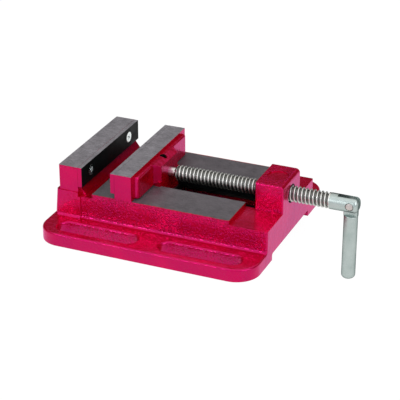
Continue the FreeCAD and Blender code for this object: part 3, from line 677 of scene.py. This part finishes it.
# closes a grid of points into a mesh: each row is a ring, and the first and last end in a pole
def gridMesh(name, points):
    rows, columns = points.shape[:2]
    index = np.arange(rows * columns).reshape(rows, columns)
    right = np.roll(index, -1, axis=1)
    quads = np.stack([index[:-1], right[:-1], right[1:], index[1:]], axis=-1)
    pole = np.full(columns, rows * columns)
    fans = np.stack([[right[0], index[0], pole], [index[-1], right[-1], pole + 1]]).transpose(0, 2, 1)
    flat = np.vstack([points.reshape(-1, 3), points[0].mean(axis=0), points[-1].mean(axis=0)])
    loops = np.concatenate([quads.reshape(-1), fans.reshape(-1)])
    sizes = np.repeat([4, 3], [quads.size // 4, 2 * columns])
    mesh = bpy.data.meshes.new(name)
    mesh.vertices.add(len(flat))
    mesh.vertices.foreach_set("co", (flat * mm).reshape(-1).astype(np.float32))
    mesh.loops.add(len(loops))
    mesh.loops.foreach_set("vertex_index", loops.astype(np.int32))
    mesh.polygons.add(len(sizes))
    mesh.polygons.foreach_set("loop_start", (np.cumsum(sizes) - sizes).astype(np.int32))
    mesh.polygons.foreach_set("loop_total", sizes.astype(np.int32))
    mesh.update(calc_edges=True)
    mesh.validate()
    return mesh


# joins the meshes into one piece with its faces outwards, and stands it for the CAD nodes
def addPiece(name, meshes, material, body, nodes, angle=35.0):
    piece = addToScene(name, meshes[0])
    for extra in meshes[1:]:
        other = addToScene(extra.name, extra)
        selectOnly(piece, other)
        bpy.ops.object.join()
    selectOnly(piece)
    bpy.ops.object.mode_set(mode="EDIT")
    bpy.ops.mesh.select_all(action="SELECT")
    bpy.ops.mesh.remove_doubles(threshold=1e-6)
    bpy.ops.mesh.normals_make_consistent(inside=False)
    bpy.ops.object.mode_set(mode="OBJECT")
    bpy.ops.object.shade_smooth_by_angle(angle=math.radians(angle))
    piece.data.materials.clear()
    piece.data.materials.append(material)
    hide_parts(*nodes)
    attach(piece, body)
    return piece


# 0 to 1 with soft ends
def ease(t):
    t = np.clip(t, 0, 1)
    return t * t * (3 - 2 * t)


# a quarter turn in equal steps
def quarter(steps):
    return np.linspace(0, math.pi / 2, steps)


def ringAngles(steps):
    return np.linspace(0, full, steps, endpoint=False)


spindleLook = {
    "axisHeight": 37.1,
    "radius": 6.25,
    "lead": 3.0,
    "depth": 1.45,
    "start": -7.0,
    "end": 117.6,
    "fadeIn": (2.2, 1.5),   # the groove starts this far before "start" and deepens over this length
    "fadeOut": (1.1, 1.2),
    "rootHalf": 0.50,       # half width of the groove at its root
    "mouthHalf": 0.975,     # and at the crest
    "edgeRound": 0.17,
    "cone": 2.4,            # length from nose to full thread
    "noseTip": -24.4,
    "noseRadius": 3.5,
    "tipRound": 0.8,
    "grooveAt": -17.8,
    "grooveHalf": 2.15,
    "grooveDepth": 1.3,
    "headFrom": 118.6,      # zinc right of this
    "slotFrom": 123.8,
    "slotHalf": 2.6,
    "headEnd": 140.3,
    "headRound": 3.0,
    "cheekGap": 0.02,       # the cheeks are this much slimmer than the shaft
    "pinAt": 134.3,
    "pinRadius": 2.8,
    "pinRound": 0.5,
    "sinkDepth": 0.8,       # of the ring round the pin
    "sinkEdge": 0.42,
    "xStep": 0.15,
    "aroundSteps": 80,
}


# radius at (x, angle): the outside envelope, less a groove whose middle climbs one lead a turn
def spindleRadius(x, angle):
    s = spindleLook
    offset = (x - s["start"] - s["lead"] * (angle - math.pi / 2) / full) % s["lead"]
    away = np.minimum(offset, s["lead"] - offset)
    slope = (away - s["rootHalf"]) / (s["mouthHalf"] - s["rootHalf"])
    k = s["edgeRound"] / (s["mouthHalf"] - s["rootHalf"])
    rise = (np.sqrt(slope * slope + k * k) - np.sqrt((slope - 1) ** 2 + k * k) + 1) / 2
    fade = ease((x - s["start"] + s["fadeIn"][0]) / s["fadeIn"][1])
    fade = fade * ease((s["end"] + s["fadeOut"][0] - x) / s["fadeOut"][1])
    thread = s["radius"] - s["depth"] * (1 - rise) * fade
    tip = np.clip((s["noseTip"] + s["tipRound"] - x) / s["tipRound"], 0, 1)
    nose = s["noseRadius"] - s["tipRound"] * tip
    nose = nose - s["grooveDepth"] * ease((s["grooveHalf"] - abs(x - s["grooveAt"])) / 0.3)
    cone = s["noseRadius"] + (s["radius"] - s["noseRadius"]) * (x - s["start"]) / s["cone"]
    return np.where(x < s["start"], nose, np.minimum(thread, np.maximum(cone, s["noseRadius"])))


# the shaft: that radius turned about the axis, with close rings where the thread runs
def makeSpindleShaft():
    s = spindleLook
    tip, start, end = s["noseTip"], s["start"] - s["cone"], s["end"] + s["cone"]
    x = np.unique(np.concatenate([
        [tip, tip + s["tipRound"] / 2, tip + s["tipRound"]], np.arange(-22.0, -13.0, 0.2),
        np.arange(-13, start, 0.8), np.arange(start, end, s["xStep"]),
        np.arange(end, s["slotFrom"], 0.5), [s["slotFrom"] + 0.4],
    ]))
    xs, angles = np.meshgrid(x, ringAngles(s["aroundSteps"]), indexing="ij")
    r = spindleRadius(xs, angles)
    points = np.stack([xs, r * np.cos(angles), s["axisHeight"] + r * np.sin(angles)], axis=-1)
    return gridMesh("spindleShaft", points)


# one cheek of the forked head: its section is a circle cut off by a flat at the slot's wall;
# the radius shrinks over the rounded end, and drops in a ring round the pin
def makeCheek(side):
    s = spindleLook
    roundFrom = s["headEnd"] - s["headRound"]
    x = np.concatenate([np.arange(s["slotFrom"] - 1.0, roundFrom, 0.2),
                        s["headEnd"] - s["headRound"] * (1 - np.sin(quarter(16)))])
    reach = np.clip((x - roundFrom) / s["headRound"], 0, 1)
    radius = s["radius"] - s["cheekGap"] - s["headRound"] * (1 - np.sqrt(1 - reach ** 2))
    limit = np.arccos(s["slotHalf"] / radius)
    angles = limit[:, None] * np.linspace(-1, 1, 110)
    y, z = radius[:, None] * np.cos(angles), radius[:, None] * np.sin(angles)
    away = np.hypot(x[:, None] - s["pinAt"], z)
    y = y - s["sinkDepth"] * ease((s["pinRadius"] + s["sinkEdge"] - away) / 0.25)
    zFlat = (radius * np.sin(limit))[:, None] * np.linspace(1, -1, 14)[1:-1]
    y = np.hstack([y, np.full_like(zFlat, s["slotHalf"])])
    z = np.hstack([z, zFlat])
    xs = np.repeat(x[:, None], z.shape[1], axis=1)
    return gridMesh("spindleCheek", np.stack([xs, side * y, s["axisHeight"] + z], axis=-1))


spindle = addPiece("tradeScrew", [makeSpindleShaft(), makeCheek(-1), makeCheek(1)], turnedSteel,
                   "screw", ["spindle"], angle=48.0)
centre, normal = faceTable(spindle)
spindle.data.materials.append(zincPlate)
spindle.data.polygons.foreach_set("material_index", (centre[:, 0] > spindleLook["headFrom"]).astype(np.int32))

barLook = {
    "radius": 5.35,
    "shoulder": 8.5,        # from the pin down to the shoulder
    "reach": 61.0,          # and to the end
    "endRound": 3.2,
    "shoulderRound": 0.5,
    "unevenness": 0.03,
    "tongueHalf": 2.4,
    "tongueRadius": 5.25,
    "tongueRound": 0.5,
    "tongueRoot": 0.6,      # how far the tongue goes into the bar
    "alongSteps": 60,
    "aroundSteps": 96,
}


# the bar: a profile (radius, height) turned about its own axis
def makeBar():
    b = barLook
    q = quarter(9)
    top, low = -b["shoulder"], -b["reach"]
    radii = np.concatenate([[0.4, 2.0, 4.0], b["radius"] - b["shoulderRound"] * (1 - np.sin(q)),
                            np.full(b["alongSteps"], b["radius"]),
                            b["radius"] - b["endRound"] * (1 - np.cos(q)), [1.2, 0.4]])
    heights = np.concatenate([[top, top, top], top - b["shoulderRound"] * (1 - np.cos(q)),
                              np.linspace(top - 1.0, low + b["endRound"] + 0.5, b["alongSteps"]),
                              low + b["endRound"] * (1 - np.sin(q)), [low, low]])
    r, a = np.meshgrid(radii, ringAngles(b["aroundSteps"]), indexing="ij")
    h = np.repeat(heights[:, None], b["aroundSteps"], axis=1)
    wave = b["unevenness"] * np.sin(h / 7.0 + 2 * np.cos(a)) * np.cos(3 * a + h / 11.0)
    r = r + np.where(r > 5.0, wave, 0)
    x, z = spindleLook["pinAt"] + r * np.cos(a), spindleLook["axisHeight"] + h
    return gridMesh("foldingBar", np.stack([x, r * np.sin(a), z], axis=-1))


# the tongue: a stadium outline carried from one flat face to the other, its edge rounded
def makeTongue():
    b = barLook
    root = b["shoulder"] + b["tongueRoot"]
    arc = np.linspace(0, math.pi, 49)
    run = np.linspace(0, 1, 16)[1:]
    flat = np.ones(15)
    outX = np.concatenate([np.cos(arc), -flat, np.linspace(-1, 1, 17)[1:-1], flat]) * b["tongueRadius"]
    outZ = np.concatenate([np.sin(arc) * b["tongueRadius"], -run * root, -flat * root, -run[::-1] * root])
    rise, fall = b["tongueRound"] * (1 - np.sin(quarter(7))), b["tongueRound"] * (1 - np.cos(quarter(7)))
    shrink = 1 - np.concatenate([rise, fall])[:, None] / b["tongueRadius"]
    across = np.concatenate([-b["tongueHalf"] + fall, b["tongueHalf"] - rise])
    xs = spindleLook["pinAt"] + outX * shrink
    zs = spindleLook["axisHeight"] + outZ * shrink
    ys = np.repeat(across[:, None], len(outX), axis=1)
    return gridMesh("barTongue", np.stack([xs, ys, zs], axis=-1))


addPiece("foldingBar", [makeBar(), makeTongue()], zincPlate, "bar", ["handle"], angle=42.0)


# the pin: rings about Y, whose ends follow the round of the head with a small dome
def makePin():
    s = spindleLook
    inner = s["pinRadius"] - s["pinRound"]
    rho = np.concatenate([[0.25], np.linspace(0.5, inner - 0.1, 9),
                          inner + s["pinRound"] * np.sin(quarter(7))])
    drop = np.concatenate([np.zeros(10), s["pinRound"] * (1 - np.cos(quarter(7)))])
    r, a = np.meshgrid(rho, ringAngles(64), indexing="ij")
    x, z = s["pinAt"] + r * np.cos(a), r * np.sin(a)
    face = np.sqrt((s["radius"] - 0.06) ** 2 - z ** 2) - drop[:, None] - 0.05 * (r / s["pinRadius"]) ** 2
    near = np.stack([x, -face, s["axisHeight"] + z], axis=-1)
    far = (near * (1, -1, 1))[::-1]
    return gridMesh("crossPin", np.concatenate([near, far]))


addPiece("crossPin", [makePin()], pinSteel, "screw", ["handle_pin"])

plateScrew = {
    "headRadius": 4.2,
    "rim": 0.15,
    "shankRadius": 2.5,
    "length": 14.0,
    "point": 0.6,
    "crossHalf": 2.3,       # half length of the recess, and half width of its arms
    "armHalf": 0.55,
    "crossDepth": 1.6,
    "crossTurn": 0.5,       # radians
    "wall": 0.35,
    "aroundSteps": 96,
}


# a countersunk screw: rings about its axis; the face sinks where either arm of the cross runs
def makePlateScrew(place, facing):
    p = plateScrew
    head, shank, half, arm = p["headRadius"], p["shankRadius"], p["crossHalf"], p["armHalf"]
    face = np.concatenate([[0.12], np.linspace(0.25, 2.6, 16), [3.0, 3.5, 3.95, head - 0.08, head]])
    depth = np.concatenate([np.zeros(len(face) - 1), [0.08]])
    radii = np.concatenate([face, [head, shank, shank, shank - p["point"]]])
    along = np.concatenate([depth, [p["rim"], p["rim"] + head - shank, p["length"] - p["point"],
                                    p["length"]]])
    r, a = np.meshgrid(radii, ringAngles(p["aroundSteps"]), indexing="ij")
    u, v = abs(r * np.cos(a + p["crossTurn"])), abs(r * np.sin(a + p["crossTurn"]))
    inside = np.maximum(np.minimum(arm - u, half - v), np.minimum(arm - v, half - u))
    onFace = (np.arange(len(radii)) < len(face))[:, None]
    d = along[:, None] + np.where(onFace, p["crossDepth"] * ease(inside / p["wall"]), 0)
    points = np.stack([place[0] - facing * d, place[1] + r * np.cos(a), place[2] + r * np.sin(a)], axis=-1)
    return gridMesh("plateScrew", points)


for node in frame["nodes"]:
    if "plate_screw" in node:
        low, high = boxMm(node)
        facing = 1 if node.startswith("fixed") else -1
        place = (low + high) / 2
        place[0] = high[0] if facing > 0 else low[0]
        words = node.split("_")
        addPiece(words[0] + "PlateScrew" + words[-1].capitalize(), [makePlateScrew(place, facing)],
                 brightZinc, bodyOf[node], [node], angle=30.0)
print("new pieces ready")
